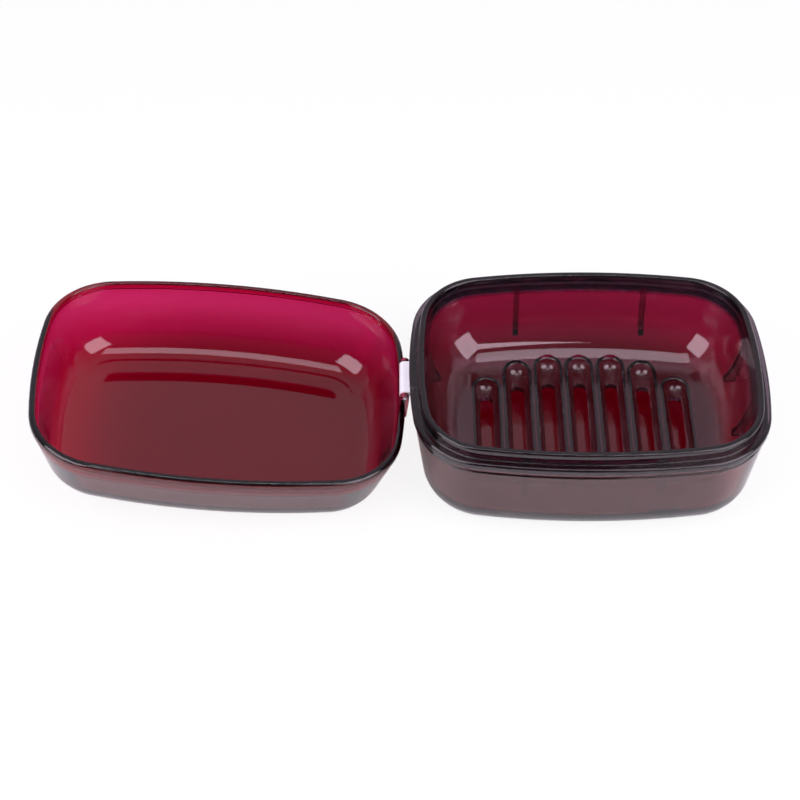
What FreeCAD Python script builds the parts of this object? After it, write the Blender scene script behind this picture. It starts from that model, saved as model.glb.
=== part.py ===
import FreeCAD, Part
import math
import os

V = FreeCAD.Vector
UP = V(0, 0, 1)
ALONG = V(0, 1, 0)

# Plan of the base, taken at the outer edge of the tray's flange
FLANGE_LENGTH = 115.0
FLANGE_WIDTH = 86.6
LONG_SIDE_BOW_R = 260.0
SHORT_SIDE_BOW_R = 170.0
CORNER_R = 23.6

# Clearances between pieces that move apart
SEAT_GAP = 0.3
RUN_FIT = 0.05
SIDE_GAP = 0.25
FIN_GAP = 0.7

# Outer shell
SHELL_HEIGHT = 33.6
SHELL_WALL = 1.6
SHELL_FLOOR = 3.0
SHELL_RIM_INSET = 0.5
SHELL_FOOT_INSET = 4.8
SHELL_BOTTOM_R = 12.0
SHELL_PLATE_INSET = 20.0
SHELL_GROOVE_HEIGHT = 1.6
SHELL_GROOVE_DEPTH = 0.7

# Drain tray
FLANGE_THICK = 2.5
FLANGE_BOTTOM_Z = SHELL_HEIGHT + SEAT_GAP
FLANGE_TOP_Z = FLANGE_BOTTOM_Z + FLANGE_THICK
RING_INSET = 2.65
RING_WIDTH = 2.1
RING_HEIGHT = 3.9
RING_TOP_Z = FLANGE_TOP_Z + RING_HEIGHT
TRAY_FLOOR_Z = 13.5
TRAY_WALL = 1.6
TRAY_FOOT_INSET = 10.3
TRAY_PLATE_INSET = 23.3
TRAY_BOWL_END_GAP = 0.45

# Drain channels in the tray floor, each with a slot through its bed
CHANNEL_COUNT = 7
CHANNEL_PITCH = 10.5
CHANNEL_DEPTH = 3.6
CHANNEL_BED_Z = TRAY_FLOOR_Z - CHANNEL_DEPTH
CHANNEL_BED_HALF = 3.5
CHANNEL_BED_R = 3.2
CHANNEL_MOUTH_HALF = 4.3
CHANNEL_LIP_R = 0.5
CHANNEL_SKIN = 1.7
CHANNEL_SIDE_WALL = 1.2
CHANNEL_HALF_LONG = 26.5
CHANNEL_SHORTENING = 0.0215
SLOT_HALF = 2.2
SLOT_HALF_LONG = 17.4
SLOT_SHORTENING = 0.0134

# Locating fins under the flange
FIN_THICK = 1.8
FIN_LENGTH = 16.5
FIN_LONG_SIDE_X = 21.3
FIN_SHORT_SIDE_Y = 12.0

# Lid, in its closed place on the flange
LID_END_OVERHANG = 2.65
LID_SIDE_OVERHANG = 0.5
LID_LENGTH = FLANGE_LENGTH + 2.0 * LID_END_OVERHANG
LID_WIDTH = FLANGE_WIDTH + 2.0 * LID_SIDE_OVERHANG
LID_HEIGHT = 26.9
LID_RIM_Z = FLANGE_TOP_Z + SEAT_GAP
LID_WALL = 1.35
LID_TOP_THICK = 2.6
LID_BEAD = 3.0
LID_SHOULDER_INSET = 0.8
LID_SKIRT = 5.2
LID_SKIRT_DRAFT = 0.1
LID_SKIRT_R = 16.0
LID_FOOT_INSET = 6.9
LID_CROWN = 1.4
LID_TOP_R = 11.0
LID_PLATE_INSET = 20.0

# Hinge at the left short end; the lid stands open at its stop
PIN_BEYOND_FLANGE = 1.45
PIN_X = -(FLANGE_LENGTH / 2.0 + PIN_BEYOND_FLANGE)
PIN_BELOW_FLANGE = 5.6
PIN_Z = FLANGE_TOP_Z - PIN_BELOW_FLANGE
PIN_R = 0.7
BARREL_R = 1.65
BARREL_HALF = 6.75
LUG_R = 1.5
LUG_THICK = 1.5
LUG_FLANGE_GAP = 0.4
OPEN_ANGLE = 173.5
LEAF_THICK = 1.6
LEAF_REACH = 3.2
LEAF_INNER_X = -(FLANGE_LENGTH / 2.0 - LEAF_REACH)


def plan(length, width, grow):
    """Eight tangent arcs (centre x, centre y, radius, start, end) of a bowed, rounded rectangle"""
    a = length / 2.0
    b = width / 2.0
    long_r = LONG_SIDE_BOW_R + grow
    short_r = SHORT_SIDE_BOW_R + grow
    corner_r = CORNER_R + grow
    x1, y1 = 0.0, b - long_r
    x2, y2 = a - short_r, 0.0
    d1 = long_r - corner_r
    d2 = short_r - corner_r
    span = math.hypot(x2 - x1, y2 - y1)
    u = (d1 * d1 - d2 * d2 + span * span) / (2.0 * span)
    h = math.sqrt(d1 * d1 - u * u)
    ex, ey = (x2 - x1) / span, (y2 - y1) / span
    ends = [(x1 + ex * u - ey * h * s, y1 + ey * u + ex * h * s) for s in (1, -1)]
    cx, cy = max(ends, key=lambda q: q[0] + q[1])
    t1 = math.atan2(cy - y1, cx - x1)
    t2 = math.atan2(cy - y2, cx - x2)
    full = math.pi
    return [
        (x2, 0.0, short_r, -t2, t2),
        (cx, cy, corner_r, t2, t1),
        (0.0, y1, long_r, t1, full - t1),
        (-cx, cy, corner_r, full - t1, full - t2),
        (-x2, 0.0, short_r, full - t2, full + t2),
        (-cx, -cy, corner_r, full + t2, full + t1),
        (0.0, -y1, long_r, full + t1, 2 * full - t1),
        (cx, -cy, corner_r, 2 * full - t1, 2 * full - t2),
    ]


def rounded(points):
    """Lines and arcs round a closed profile; each point is (across, up, corner radius)"""
    n = len(points)
    corners = []
    for i in range(n):
        px, py, r = points[i]
        ax, ay, _ = points[i - 1]
        bx, by, _ = points[(i + 1) % n]
        if r <= 0:
            corners.append(((px, py), None, (px, py)))
            continue
        la = math.hypot(ax - px, ay - py)
        lb = math.hypot(bx - px, by - py)
        ua = ((ax - px) / la, (ay - py) / la)
        ub = ((bx - px) / lb, (by - py) / lb)
        half = math.acos(max(-1.0, min(1.0, ua[0] * ub[0] + ua[1] * ub[1]))) / 2.0
        run = r / math.tan(half)
        bis = (ua[0] + ub[0], ua[1] + ub[1])
        size = math.hypot(bis[0], bis[1])
        reach = r / math.sin(half)
        mid = (px + bis[0] / size * (reach - r), py + bis[1] / size * (reach - r))
        corners.append((
            (px + ua[0] * run, py + ua[1] * run),
            mid,
            (px + ub[0] * run, py + ub[1] * run),
        ))
    pieces = []
    for i in range(n):
        start, mid, end = corners[i]
        if mid is not None:
            pieces.append((start, mid, end))
        pieces.append((end, corners[(i + 1) % n][0]))
    return pieces


def profile_face(pieces, place):
    edges = []
    for piece in pieces:
        pts = [place(q[0], q[1]) for q in piece]
        if len(pts) == 3:
            edges.append(Part.Arc(pts[0], pts[1], pts[2]).toShape())
        elif pts[0].distanceToPoint(pts[1]) > 1e-6:
            edges.append(Part.makeLine(pts[0], pts[1]))
    return Part.Face(Part.Wire(edges))


def positive(body):
    if body.Volume < 0:
        body.reverse()
    return body


def swept(arcs, points):
    """A profile of (inset, height) carried once round a plan"""
    pieces = rounded(points)
    solids = []
    for cx, cy, r, start, end in arcs:
        out = V(math.cos(start), math.sin(start), 0)
        centre = V(cx, cy, 0)
        face = profile_face(pieces, lambda d, z: centre + out * (r - d) + UP * z)
        solids.append(positive(face.revolve(centre, UP, math.degrees(end - start))))
    return solids[0].multiFuse(solids[1:])


def plate(arcs, inset, low, high):
    edges = []
    for cx, cy, r, start, end in arcs:
        c = V(cx, cy, low)
        edges.append(Part.makeCircle(r - inset, c, UP, math.degrees(start), math.degrees(end)))
    return Part.Face(Part.Wire(edges)).extrude(UP * (high - low))


def block(x0, x1, y0, y1, z0, z1):
    return Part.makeBox(x1 - x0, y1 - y0, z1 - z0, V(x0, y0, z0))


def along_y(radius, x, z, y0, y1):
    return Part.makeCylinder(radius, y1 - y0, V(x, y0, z), ALONG)


def stadium(x, half_long, points):
    """A profile of (half width, height) run along Y with a half turn at both ends"""
    pieces = rounded(points)
    reach = max(p[0] for p in points)
    straight = half_long - reach
    side = profile_face(pieces, lambda w, z: V(x + w, -straight, z))
    far = profile_face(pieces, lambda w, z: V(x - w, straight, z))
    near = positive(side.revolve(V(x, -straight, 0), UP, -180))
    end = positive(far.revolve(V(x, straight, 0), UP, -180))
    mirror = profile_face(pieces, lambda w, z: V(x - w, -straight, z))
    run = V(0, 2 * straight, 0)
    right = positive(side.extrude(run))
    left = positive(mirror.extrude(run))
    return right.multiFuse([left, near, end])


def solid(shape):
    shape = shape.removeSplitter()
    return shape.Solids[0] if len(shape.Solids) == 1 else shape


base_plan = plan(FLANGE_LENGTH, FLANGE_WIDTH, 0.0)
lid_plan = plan(LID_LENGTH, LID_WIDTH, LID_SIDE_OVERHANG)

# Outer shell: a thin moulded cup with a groove under the tray's flange and a notch for the hinge leaf
shell_slope = (SHELL_FOOT_INSET - SHELL_RIM_INSET) / SHELL_HEIGHT
groove_in = SHELL_RIM_INSET + SHELL_GROOVE_DEPTH
groove_low = SHELL_HEIGHT - SHELL_GROOVE_HEIGHT
shell_wall = swept(base_plan, [
    (groove_in, SHELL_HEIGHT, 0.3),
    (groove_in, groove_low, 0.3),
    (SHELL_RIM_INSET + shell_slope * SHELL_GROOVE_HEIGHT, groove_low, 0.4),
    (SHELL_FOOT_INSET, 0.0, SHELL_BOTTOM_R),
    (SHELL_PLATE_INSET, 0.0, 0),
    (SHELL_PLATE_INSET, SHELL_FLOOR, 0),
    (SHELL_FOOT_INSET + SHELL_WALL, SHELL_FLOOR, SHELL_BOTTOM_R - SHELL_WALL),
    (SHELL_RIM_INSET + SHELL_WALL, SHELL_HEIGHT, 0.3),
])
outer_shell = shell_wall.fuse(plate(base_plan, SHELL_PLATE_INSET, 0.0, SHELL_FLOOR))
leaf_low = PIN_Z + BARREL_R - LEAF_THICK
notch = block(
    -FLANGE_LENGTH / 2.0 - 5.0, LEAF_INNER_X + 1.0,
    -BARREL_HALF - 0.5, BARREL_HALF + 0.5,
    leaf_low - 0.6, SHELL_HEIGHT + 5.0,
)
outer_shell = solid(outer_shell.cut(notch))

# Drain tray: flange, standing ring and bowl in one moulding
tray_under = TRAY_FLOOR_Z - TRAY_WALL
tray_slope = (TRAY_FOOT_INSET - RING_INSET - RING_WIDTH) / (RING_TOP_Z - TRAY_FLOOR_Z)
flange_root = RING_INSET + RING_WIDTH + tray_slope * (RING_TOP_Z - FLANGE_BOTTOM_Z) - TRAY_WALL
tray_half_turn = (math.pi / 2.0 + math.atan(tray_slope)) / 2.0
tray_bowl_r = (TRAY_PLATE_INSET - TRAY_FOOT_INSET - TRAY_BOWL_END_GAP) * math.tan(tray_half_turn)
tray_foot_under = flange_root + tray_slope * (FLANGE_BOTTOM_Z - tray_under)
tray_bowl = swept(base_plan, [
    (flange_root, FLANGE_BOTTOM_Z, 0.6),
    (tray_foot_under, tray_under, tray_bowl_r + TRAY_WALL),
    (TRAY_PLATE_INSET, tray_under, 0),
    (TRAY_PLATE_INSET, TRAY_FLOOR_Z, 0),
    (TRAY_FOOT_INSET, TRAY_FLOOR_Z, tray_bowl_r),
    (RING_INSET + RING_WIDTH, RING_TOP_Z, 0.8),
    (RING_INSET + 0.15, RING_TOP_Z, 0.8),
    (RING_INSET, FLANGE_TOP_Z, 0.4),
    (0.0, FLANGE_TOP_Z, 0.9),
    (0.0, FLANGE_BOTTOM_Z, 0.6),
])
drain_tray = tray_bowl.fuse(plate(base_plan, TRAY_PLATE_INSET, tray_under, TRAY_FLOOR_Z))

# Fins that centre the tray in the shell, following the slope of the shell's inner wall
fin_top = FLANGE_BOTTOM_Z + 0.4
fin_low = FLANGE_BOTTOM_Z - FIN_LENGTH


def fin_outer(z):
    return SHELL_RIM_INSET + SHELL_WALL + FIN_GAP + shell_slope * (SHELL_HEIGHT - z)


def fin_inner(z, bite):
    return flange_root + bite + tray_slope * (FLANGE_BOTTOM_Z - z)


fin_points = rounded([
    (fin_outer(fin_top), fin_top, 0),
    (fin_outer(fin_low), fin_low, 1.6),
    (fin_inner(fin_low, TRAY_WALL), fin_low, 0),
    (fin_inner(fin_top, TRAY_WALL * 0.4), fin_top, 0),
])
half_l = FLANGE_LENGTH / 2.0
half_w = FLANGE_WIDTH / 2.0
fins = []
for sx in (-1, 1):
    for sy in (-1, 1):
        drop = LONG_SIDE_BOW_R - math.sqrt(LONG_SIDE_BOW_R ** 2 - FIN_LONG_SIDE_X ** 2)
        x0 = sx * FIN_LONG_SIDE_X - FIN_THICK / 2.0
        face = profile_face(fin_points, lambda d, z: V(x0, sy * (half_w - drop - d), z))
        fins.append(positive(face.extrude(V(FIN_THICK, 0, 0))))
        drop = SHORT_SIDE_BOW_R - math.sqrt(SHORT_SIDE_BOW_R ** 2 - FIN_SHORT_SIDE_Y ** 2)
        y0 = sy * FIN_SHORT_SIDE_Y - FIN_THICK / 2.0
        face = profile_face(fin_points, lambda d, z: V(sx * (half_l - drop - d), y0, z))
        fins.append(positive(face.extrude(V(0, FIN_THICK, 0))))
drain_tray = drain_tray.multiFuse(fins)

# Sunken channels: troughs under the floor, the channel cut into them, the slot through the bed
troughs = []
channels = []
slots = []
for i in range(CHANNEL_COUNT):
    x = (i - (CHANNEL_COUNT - 1) / 2.0) * CHANNEL_PITCH
    outward = max(0.0, abs(x) - CHANNEL_PITCH)
    half_long = CHANNEL_HALF_LONG - CHANNEL_SHORTENING * outward ** 2
    low = CHANNEL_BED_Z - CHANNEL_SKIN
    troughs.append(stadium(x, half_long + CHANNEL_SIDE_WALL, [
        (0.0, low, 0),
        (CHANNEL_BED_HALF + CHANNEL_SIDE_WALL, low, CHANNEL_BED_R + 0.8),
        (CHANNEL_MOUTH_HALF + 0.7, TRAY_FLOOR_Z - 0.6, 0),
        (0.0, TRAY_FLOOR_Z - 0.6, 0),
    ]))
    channels.append(stadium(x, half_long, [
        (0.0, CHANNEL_BED_Z, 0),
        (CHANNEL_BED_HALF, CHANNEL_BED_Z, CHANNEL_BED_R),
        (CHANNEL_MOUTH_HALF - CHANNEL_LIP_R, TRAY_FLOOR_Z, CHANNEL_LIP_R),
        (CHANNEL_MOUTH_HALF, TRAY_FLOOR_Z, 0),
        (CHANNEL_MOUTH_HALF, TRAY_FLOOR_Z + 6.0, 0),
        (0.0, TRAY_FLOOR_Z + 6.0, 0),
    ]))
    slot = stadium(x, SLOT_HALF_LONG - SLOT_SHORTENING * outward ** 2, [
        (0.0, low - 1.0, 0),
        (SLOT_HALF, low - 1.0, 0),
        (SLOT_HALF, CHANNEL_BED_Z + 1.0, 0),
        (0.0, CHANNEL_BED_Z + 1.0, 0),
    ])
    slots.append(slot)
drain_tray = drain_tray.multiFuse(troughs)
for cutter in channels + slots:
    drain_tray = drain_tray.cut(cutter)
drain_tray = solid(drain_tray)

# Lid: bead, upright skirt that drops over the tray's ring, tapered wall and slightly crowned top
crown_z = LID_RIM_Z + LID_HEIGHT
lid_mouth = LID_SHOULDER_INSET + LID_WALL
lid_ring = swept(lid_plan, [
    (0.0, LID_RIM_Z, 1.2),
    (lid_mouth, LID_RIM_Z, 0.6),
    (lid_mouth + LID_SKIRT_DRAFT, LID_RIM_Z + LID_SKIRT, LID_SKIRT_R),
    (LID_FOOT_INSET + LID_WALL, crown_z - LID_CROWN - LID_TOP_THICK, LID_TOP_R - LID_WALL),
    (LID_PLATE_INSET, crown_z - LID_TOP_THICK, 0),
    (LID_PLATE_INSET, crown_z, 0),
    (LID_FOOT_INSET, crown_z - LID_CROWN, LID_TOP_R),
    (LID_SHOULDER_INSET + LID_SKIRT_DRAFT, LID_RIM_Z + LID_SKIRT, LID_SKIRT_R + LID_WALL),
    (LID_SHOULDER_INSET, LID_RIM_Z + LID_BEAD, 0.3),
    (0.0, LID_RIM_Z + LID_BEAD, 0.8),
])
lid = lid_ring.fuse(plate(lid_plan, LID_PLATE_INSET, crown_z - LID_TOP_THICK, crown_z))

# Two lugs hang from the lid's left end and turn on the pin
lug_in_x = -FLANGE_LENGTH / 2.0 - LUG_FLANGE_GAP
lug_y = BARREL_HALF + SIDE_GAP
for y0 in (lug_y, -lug_y - LUG_THICK):
    eye = along_y(LUG_R, PIN_X, PIN_Z, y0, y0 + LUG_THICK)
    stem = block(PIN_X - LUG_R, lug_in_x, y0, y0 + LUG_THICK, PIN_Z, LID_RIM_Z + LID_BEAD - 0.6)
    lid = lid.multiFuse([eye, stem])
    lid = lid.cut(along_y(PIN_R + RUN_FIT, PIN_X, PIN_Z, y0 - 0.1, y0 + LUG_THICK + 0.1))
lid = solid(lid)
lid.rotate(V(PIN_X, 0, PIN_Z), ALONG, -OPEN_ANGLE)

# Hinge leaf: barrel, arm and a foot bonded up against the underside of the flange
barrel = along_y(BARREL_R, PIN_X, PIN_Z, -BARREL_HALF, BARREL_HALF)
arm = block(PIN_X, LEAF_INNER_X, -BARREL_HALF, BARREL_HALF, leaf_low, leaf_low + LEAF_THICK)
foot = block(-FLANGE_LENGTH / 2.0 + 0.5, LEAF_INNER_X, -BARREL_HALF, BARREL_HALF, leaf_low, FLANGE_BOTTOM_Z)
hinge_leaf = barrel.multiFuse([arm, foot])
hinge_leaf = hinge_leaf.cut(along_y(PIN_R, PIN_X, PIN_Z, -BARREL_HALF - 1.0, BARREL_HALF + 1.0))
hinge_leaf = solid(hinge_leaf)

# Hinge pin: plain steel rod, tight in the barrel and free in the lugs
pin_half = lug_y + LUG_THICK - 0.2
hinge_pin = along_y(PIN_R, PIN_X, PIN_Z, -pin_half, pin_half)

os.makedirs("parts", exist_ok=True)
nodes = {
    "outer_shell": outer_shell,
    "drain_tray": drain_tray,
    "lid": lid,
    "hinge_leaf": hinge_leaf,
    "hinge_pin": hinge_pin,
}
for name, shape in nodes.items():
    box = shape.BoundBox
    print(name, shape.ShapeType, len(shape.Solids), shape.isValid(), round(shape.Volume, 1),
          [round(q, 2) for q in (box.XMin, box.XMax, box.YMin, box.YMax, box.ZMin, box.ZMax)])
    shape.exportStep("parts/" + name + ".step")
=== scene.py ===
import math

import bpy
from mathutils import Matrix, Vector

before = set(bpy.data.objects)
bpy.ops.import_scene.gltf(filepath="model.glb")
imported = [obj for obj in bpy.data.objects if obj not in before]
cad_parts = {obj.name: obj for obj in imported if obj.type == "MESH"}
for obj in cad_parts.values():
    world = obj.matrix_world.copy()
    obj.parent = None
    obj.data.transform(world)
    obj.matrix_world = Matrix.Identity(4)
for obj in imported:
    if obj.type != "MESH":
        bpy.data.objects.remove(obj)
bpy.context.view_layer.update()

# Outer shell: a deep cup injection-moulded in clear ruby styrene, polished by its tool.
# It stands on the table and carries the tray by the flange that lies on its rim.
# Thin walls glow crimson where light comes through them, thick edges go nearly black.
MM = 0.001
STYRENE_IOR = 1.57
STYRENE_ROUGHNESS = 0.012
HANDLING_MARK_MM = 1.6  # real marks are finer and wouldn't show in the render
SHRINK_WAVE_RISE_MM = 0.4
SHRINK_WAVE_STRENGTH = 0.05
RUBY_TINT = "#FFF2F4"
RUBY_LOSS_PER_MM = (0.42, 2.60, 1.45)
RUBY_WAVE_MM = 14.0
RUBY_CLEAR = 1.0


def linear(hex_colour):
    """An sRGB hex colour as linear red, green and blue"""
    parts = [int(hex_colour[i:i + 2], 16) / 255 for i in (1, 3, 5)]
    return tuple(c / 12.92 if c <= 0.04045 else ((c + 0.055) / 1.055) ** 2.4 for c in parts)


def add(tree, kind, links=None, **settings):
    """Adds one node, sets its sockets or properties by name, and links sockets to it"""
    node = tree.nodes.new(kind)
    for key, value in settings.items():
        if hasattr(node, key):
            setattr(node, key, value)
        else:
            node.inputs[key.replace("_", " ")].default_value = value
    for key, source in (links or {}).items():
        tree.links.new(source, node.inputs[key])
    return node


def moulded_styrene(name, tint, loss_per_mm, wave_mm, clear):
    """Styrene from a polished mould; loss_per_mm dims red, green and blue, clear is the unclouded share"""
    material = bpy.data.materials.new(name)
    material.use_nodes = True
    tree = material.node_tree
    tree.nodes.clear()
    place = add(tree, "ShaderNodeTexCoord").outputs["Object"]
    # Slow shrink waves left by the cooling wall, and a finer haze of handling marks
    wave = add(
        tree, "ShaderNodeTexNoise", {"Vector": place},
        Scale=1 / (wave_mm * MM), Detail=1.0, Roughness=0.4,
    )
    marks = add(
        tree, "ShaderNodeTexNoise", {"Vector": place},
        Scale=1 / (HANDLING_MARK_MM * MM), Detail=4.0, Roughness=0.65,
    )
    rough = add(
        tree, "ShaderNodeMapRange", {"Value": marks.outputs["Fac"]},
        From_Min=0.35, From_Max=0.75, To_Min=STYRENE_ROUGHNESS * 0.5, To_Max=STYRENE_ROUGHNESS * 1.6,
    )
    bump = add(
        tree, "ShaderNodeBump", {"Height": wave.outputs["Fac"]},
        Strength=SHRINK_WAVE_STRENGTH, Distance=SHRINK_WAVE_RISE_MM * MM,
    )
    surface = add(
        tree, "ShaderNodeBsdfPrincipled",
        {"Roughness": rough.outputs["Result"], "Normal": bump.outputs["Normal"]},
        Base_Color=(*linear(tint), 1), IOR=STYRENE_IOR, Transmission_Weight=clear,
    )
    # The deeper light has to go, the more of it the dye takes, green most of all in the ruby
    strongest = max(loss_per_mm)
    dye = add(
        tree, "ShaderNodeVolumeAbsorption",
        Density=strongest / MM, Color=(*(1 - loss / strongest for loss in loss_per_mm), 1),
    )
    add(
        tree, "ShaderNodeOutputMaterial",
        {"Surface": surface.outputs["BSDF"], "Volume": dye.outputs["Volume"]},
    )
    return material


def dress(node, material):
    """Gives a CAD piece its finish and smooth shading"""
    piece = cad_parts[node]
    piece.data.materials.clear()
    piece.data.materials.append(material)
    for polygon in piece.data.polygons:
        polygon.use_smooth = True
    return piece


ruby = moulded_styrene("moulded ruby styrene", RUBY_TINT, RUBY_LOSS_PER_MM, RUBY_WAVE_MM, RUBY_CLEAR)
dress("outer_shell", ruby)

# Drain tray: the same styrene in smoke grey, moulded in one piece with its flange, ring and slotted floor.
# It drops into the shell and lifts out for washing. The flange and ring are its thickest part and look
# almost black; that darkness is painted shade, a darker tint laid on the same plastic from the shell's rim
# up.
SMOKE_TINT = "#F8F6F8"
# Painted shade for the flange and ring, not a colour the plastic has
SMOKE_RIM_PAINTED_SHADE = "#8A868C"
SMOKE_LOSS_PER_MM = (0.38, 0.50, 0.43)
SMOKE_WAVE_MM = 12.0
SMOKE_CLEAR = 0.995
RING_HEIGHT_MM = 3.9
FLANGE_THICK_MM = 2.5
RIM_SHADE_FADE_BELOW_MM = 0.6
RIM_SHADE_FADE_ABOVE_MM = 0.4
smoke = moulded_styrene("moulded smoke styrene", SMOKE_TINT, SMOKE_LOSS_PER_MM, SMOKE_WAVE_MM, SMOKE_CLEAR)
tray = dress("drain_tray", smoke)
tray_top = max(vertex.co.z for vertex in tray.data.vertices)
flange_underside = tray_top - (RING_HEIGHT_MM + FLANGE_THICK_MM) * MM
smoke_tree = smoke.node_tree
smoke_place = add(smoke_tree, "ShaderNodeTexCoord").outputs["Object"]
smoke_height = add(smoke_tree, "ShaderNodeSeparateXYZ", {"Vector": smoke_place}).outputs["Z"]
# Painted shade: the darker tint fades in around the flange's underside and covers the flange and ring
# above it
smoke_rim_shade_mask = add(
    smoke_tree, "ShaderNodeMapRange", {"Value": smoke_height},
    From_Min=flange_underside - RIM_SHADE_FADE_BELOW_MM * MM, From_Max=flange_underside + RIM_SHADE_FADE_ABOVE_MM * MM,
)
smoke_tint_with_rim_shade = add(smoke_tree, "ShaderNodeMix", {"Factor": smoke_rim_shade_mask.outputs["Result"]}, data_type="RGBA")
smoke_tint_with_rim_shade.inputs[6].default_value = (*linear(SMOKE_TINT), 1)
smoke_tint_with_rim_shade.inputs[7].default_value = (*linear(SMOKE_RIM_PAINTED_SHADE), 1)
smoke_skin = next(node for node in smoke_tree.nodes if node.type == "BSDF_PRINCIPLED")
smoke_tree.links.new(smoke_tint_with_rim_shade.outputs[2], smoke_skin.inputs["Base Color"])

# Lid: ruby styrene like the shell, moulded with a rounded bead round its rim and two lugs for the pin.
# It lies open on its hinge with its hollow up.
dress("lid", ruby)

# Hinge leaf: opaque white polypropylene, moulded with its barrel and bonded up under the flange.
# Its surface is slightly waxy, with a soft sheen.
LEAF_SHADE = "#E4E4EA"
LEAF_LIGHT = "#F4F4F6"
LEAF_CLOUD_MM = 3.0
LEAF_GRAIN_MM = 0.4  # the real grain is finer and wouldn't show in the render
LEAF_GRAIN_RISE_MM = 0.1
POLYPROPYLENE_IOR = 1.49
polypropylene = bpy.data.materials.new("moulded white polypropylene")
polypropylene.use_nodes = True
leaf_tree = polypropylene.node_tree
leaf_tree.nodes.clear()
leaf_place = add(leaf_tree, "ShaderNodeTexCoord").outputs["Object"]
leaf_cloud = add(
    leaf_tree, "ShaderNodeTexNoise", {"Vector": leaf_place},
    Scale=1 / (LEAF_CLOUD_MM * MM), Detail=3.0,
)
leaf_shade = add(leaf_tree, "ShaderNodeMix", {"Factor": leaf_cloud.outputs["Fac"]}, data_type="RGBA")
leaf_shade.inputs[6].default_value = (*linear(LEAF_SHADE), 1)
leaf_shade.inputs[7].default_value = (*linear(LEAF_LIGHT), 1)
leaf_grain = add(
    leaf_tree, "ShaderNodeTexNoise", {"Vector": leaf_place},
    Scale=1 / (LEAF_GRAIN_MM * MM), Detail=2.0,
)
leaf_bump = add(
    leaf_tree, "ShaderNodeBump", {"Height": leaf_grain.outputs["Fac"]},
    Strength=0.06, Distance=LEAF_GRAIN_RISE_MM * MM,
)
leaf_skin = add(
    leaf_tree, "ShaderNodeBsdfPrincipled",
    {"Base Color": leaf_shade.outputs[2], "Normal": leaf_bump.outputs["Normal"]},
    Roughness=0.34, IOR=POLYPROPYLENE_IOR, Subsurface_Weight=0.15, Subsurface_Scale=1.0 * MM,
)
add(leaf_tree, "ShaderNodeOutputMaterial", {"Surface": leaf_skin.outputs["BSDF"]})
dress("hinge_leaf", polypropylene)

# Hinge pin: a short length of drawn stainless wire through the barrel and the lid's lugs.
# Drawing leaves fine lines along it, so its shine is streaked lengthwise.
WIRE_COLOUR = "#C6C6C8"
WIRE_LINE_MM = 0.25  # real drawing lines are finer and wouldn't show in the render
WIRE_LINE_STRETCH = 25
wire = bpy.data.materials.new("drawn stainless wire")
wire.use_nodes = True
wire_tree = wire.node_tree
wire_tree.nodes.clear()
wire_place = add(wire_tree, "ShaderNodeTexCoord").outputs["Object"]
wire_along = add(wire_tree, "ShaderNodeMapping", {"Vector": wire_place})
wire_along.inputs["Scale"].default_value = (1.0, 1 / WIRE_LINE_STRETCH, 1.0)
wire_lines = add(
    wire_tree, "ShaderNodeTexNoise", {"Vector": wire_along.outputs["Vector"]},
    Scale=1 / (WIRE_LINE_MM * MM), Detail=3.0,
)
wire_rough = add(
    wire_tree, "ShaderNodeMapRange", {"Value": wire_lines.outputs["Fac"]},
    To_Min=0.2, To_Max=0.42,
)
wire_skin = add(
    wire_tree, "ShaderNodeBsdfPrincipled", {"Roughness": wire_rough.outputs["Result"]},
    Base_Color=(*linear(WIRE_COLOUR), 1), Metallic=1.0,
)
add(wire_tree, "ShaderNodeOutputMaterial", {"Surface": wire_skin.outputs["BSDF"]})
dress("hinge_pin", wire)

# Table: a plain white card that the box stands on, with the box's own soft shadow.
# The camera sees it mostly as plain white, as in the photograph. Reflections and the view
# through the plastic see mostly the lit card.
TABLE_SIZE = 6.0
TABLE_CENTRE = (-0.06, 0.0, -0.2 * MM)  # just under the shell, so that the two faces don't coincide
CARD_COLOUR = "#F8F8F8"
CARD_WHITE = "#FFFFFF"
WHITE_TO_CAMERA = 0.88
WHITE_IN_REFLECTIONS = 0.25
WHITE_THROUGH_PLASTIC = 0.03
bpy.ops.mesh.primitive_plane_add(size=TABLE_SIZE, location=TABLE_CENTRE)
table = bpy.context.object
table.name = "white_table"
card = bpy.data.materials.new("matt white card")
card.use_nodes = True
card_tree = card.node_tree
card_tree.nodes.clear()
card_ray = add(card_tree, "ShaderNodeLightPath")
card_shares = []
for ray, share in (
    ("Is Camera Ray", WHITE_TO_CAMERA),
    ("Is Glossy Ray", WHITE_IN_REFLECTIONS),
    ("Is Transmission Ray", WHITE_THROUGH_PLASTIC),
):
    card_part = add(card_tree, "ShaderNodeMath", {0: card_ray.outputs[ray]}, operation="MULTIPLY")
    card_part.inputs[1].default_value = share
    card_shares.append(card_part.outputs[0])
card_share = card_shares[0]
for other_share in card_shares[1:]:
    larger = add(card_tree, "ShaderNodeMath", {0: card_share, 1: other_share}, operation="MAXIMUM")
    card_share = larger.outputs[0]
card_face = add(card_tree, "ShaderNodeBsdfDiffuse", Color=(*linear(CARD_COLOUR), 1))
card_white = add(card_tree, "ShaderNodeEmission", Color=(*linear(CARD_WHITE), 1), Strength=1.0)
card_mix = add(
    card_tree, "ShaderNodeMixShader",
    {0: card_share, 1: card_face.outputs[0], 2: card_white.outputs[0]},
)
add(card_tree, "ShaderNodeOutputMaterial", {"Surface": card_mix.outputs[0]})
table.data.materials.append(card)

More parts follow.
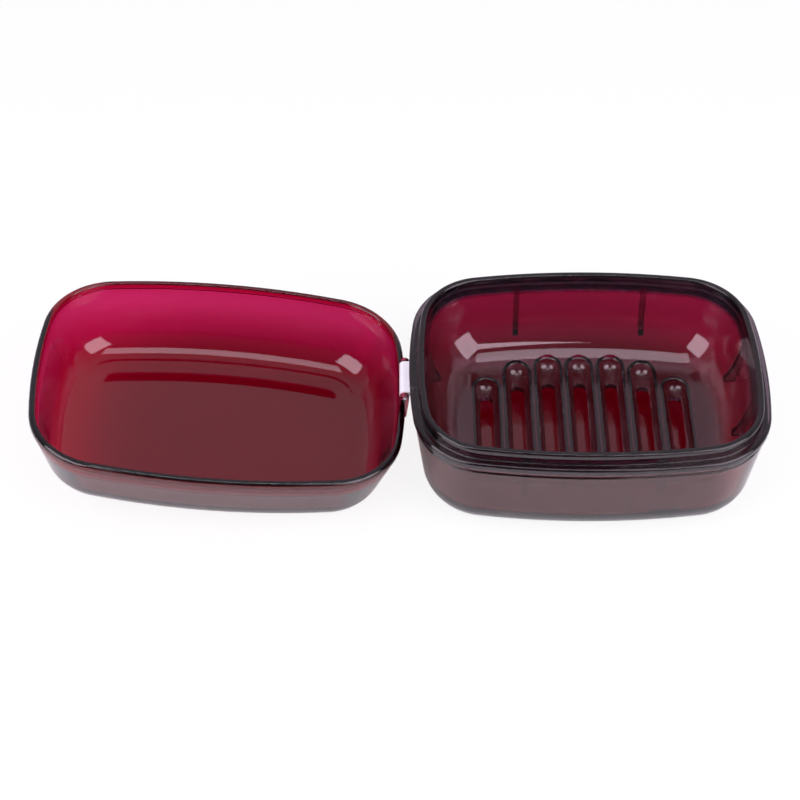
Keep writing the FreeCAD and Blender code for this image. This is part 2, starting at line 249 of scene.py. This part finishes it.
# Studio: pale walls behind the box fading to a dark room in front, one soft panel overhead
# and a large one to each side of the camera.
ROOM_FRONT = "#59555D"
ROOM_REAR = "#CBC2D0"
ROOM_FADE_START = -0.35
ROOM_FADE_END = 0.65
PANEL_TINT = "#FDF3FF"
TOP_PANEL_SIZE = (0.35, 0.30)
TOP_PANEL_RADIANCE = 2.6
SIDE_PANEL_SIZE = (0.55, 0.62)
SIDE_PANEL_RADIANCE = 4.2
TRAY_MIDDLE = (-0.03, 0.0, 0.02)
BOX_MIDDLE = (-0.06, 0.0, 0.02)
world = bpy.data.worlds.new("studio")
bpy.context.scene.world = world
world.use_nodes = True
room = world.node_tree
room.nodes.clear()
room_way = add(room, "ShaderNodeTexCoord").outputs["Generated"]
room_back = add(room, "ShaderNodeSeparateXYZ", {"Vector": room_way}).outputs["Y"]
room_fade = add(
    room, "ShaderNodeMapRange", {"Value": room_back},
    From_Min=ROOM_FADE_START, From_Max=ROOM_FADE_END,
)
room_shade = add(room, "ShaderNodeMix", {"Factor": room_fade.outputs["Result"]}, data_type="RGBA")
room_shade.inputs[6].default_value = (*linear(ROOM_FRONT), 1)
room_shade.inputs[7].default_value = (*linear(ROOM_REAR), 1)
room_walls = add(room, "ShaderNodeBackground", {"Color": room_shade.outputs[2]}, Strength=1.0)
add(room, "ShaderNodeOutputWorld", {"Surface": room_walls.outputs[0]})


def panel(name, place, aim, size, radiance):
    """A soft light panel at a place, turned to face the aim"""
    lamp = bpy.data.lights.new(name, "AREA")
    lamp.shape = "RECTANGLE"
    lamp.size, lamp.size_y = size
    lamp.energy = radiance * math.pi * size[0] * size[1]
    lamp.color = linear(PANEL_TINT)
    holder = bpy.data.objects.new(name, lamp)
    bpy.context.scene.collection.objects.link(holder)
    holder.location = place
    holder.rotation_euler = (Vector(aim) - Vector(place)).to_track_quat("-Z", "Y").to_euler()


panel("panel_top", (-0.03, -0.06, 0.72), TRAY_MIDDLE, TOP_PANEL_SIZE, TOP_PANEL_RADIANCE)
panel("panel_left", (-0.50, -0.30, 0.44), BOX_MIDDLE, SIDE_PANEL_SIZE, SIDE_PANEL_RADIANCE)
panel("panel_right", (0.38, -0.30, 0.44), BOX_MIDDLE, SIDE_PANEL_SIZE, SIDE_PANEL_RADIANCE)

# Camera: the photograph's place in front of the box, looking down on it from a little over half a metre.
# Its lens is the one fitted to the rims of both halves.
FOCAL_PX = 1900.0
PICTURE_PX = 800.0
SENSOR_MM = 36.0
CAMERA_RISE_DEG = 47.9
CAMERA_DISTANCE = 0.635
CAMERA_AIM = Vector((-0.0604, 0.0096, 0.0105))
eye = bpy.data.cameras.new("photo_camera")
eye.sensor_width = SENSOR_MM
eye.lens = SENSOR_MM * FOCAL_PX / PICTURE_PX
camera = bpy.data.objects.new("photo_camera", eye)
bpy.context.scene.collection.objects.link(camera)
rise = math.radians(CAMERA_RISE_DEG)
camera.location = CAMERA_AIM - CAMERA_DISTANCE * Vector((0.0, math.cos(rise), -math.sin(rise)))
camera.rotation_euler = (math.pi / 2 - rise, 0.0, 0.0)
bpy.context.scene.camera = camera

bpy.context.scene.view_settings.view_transform = "Standard"
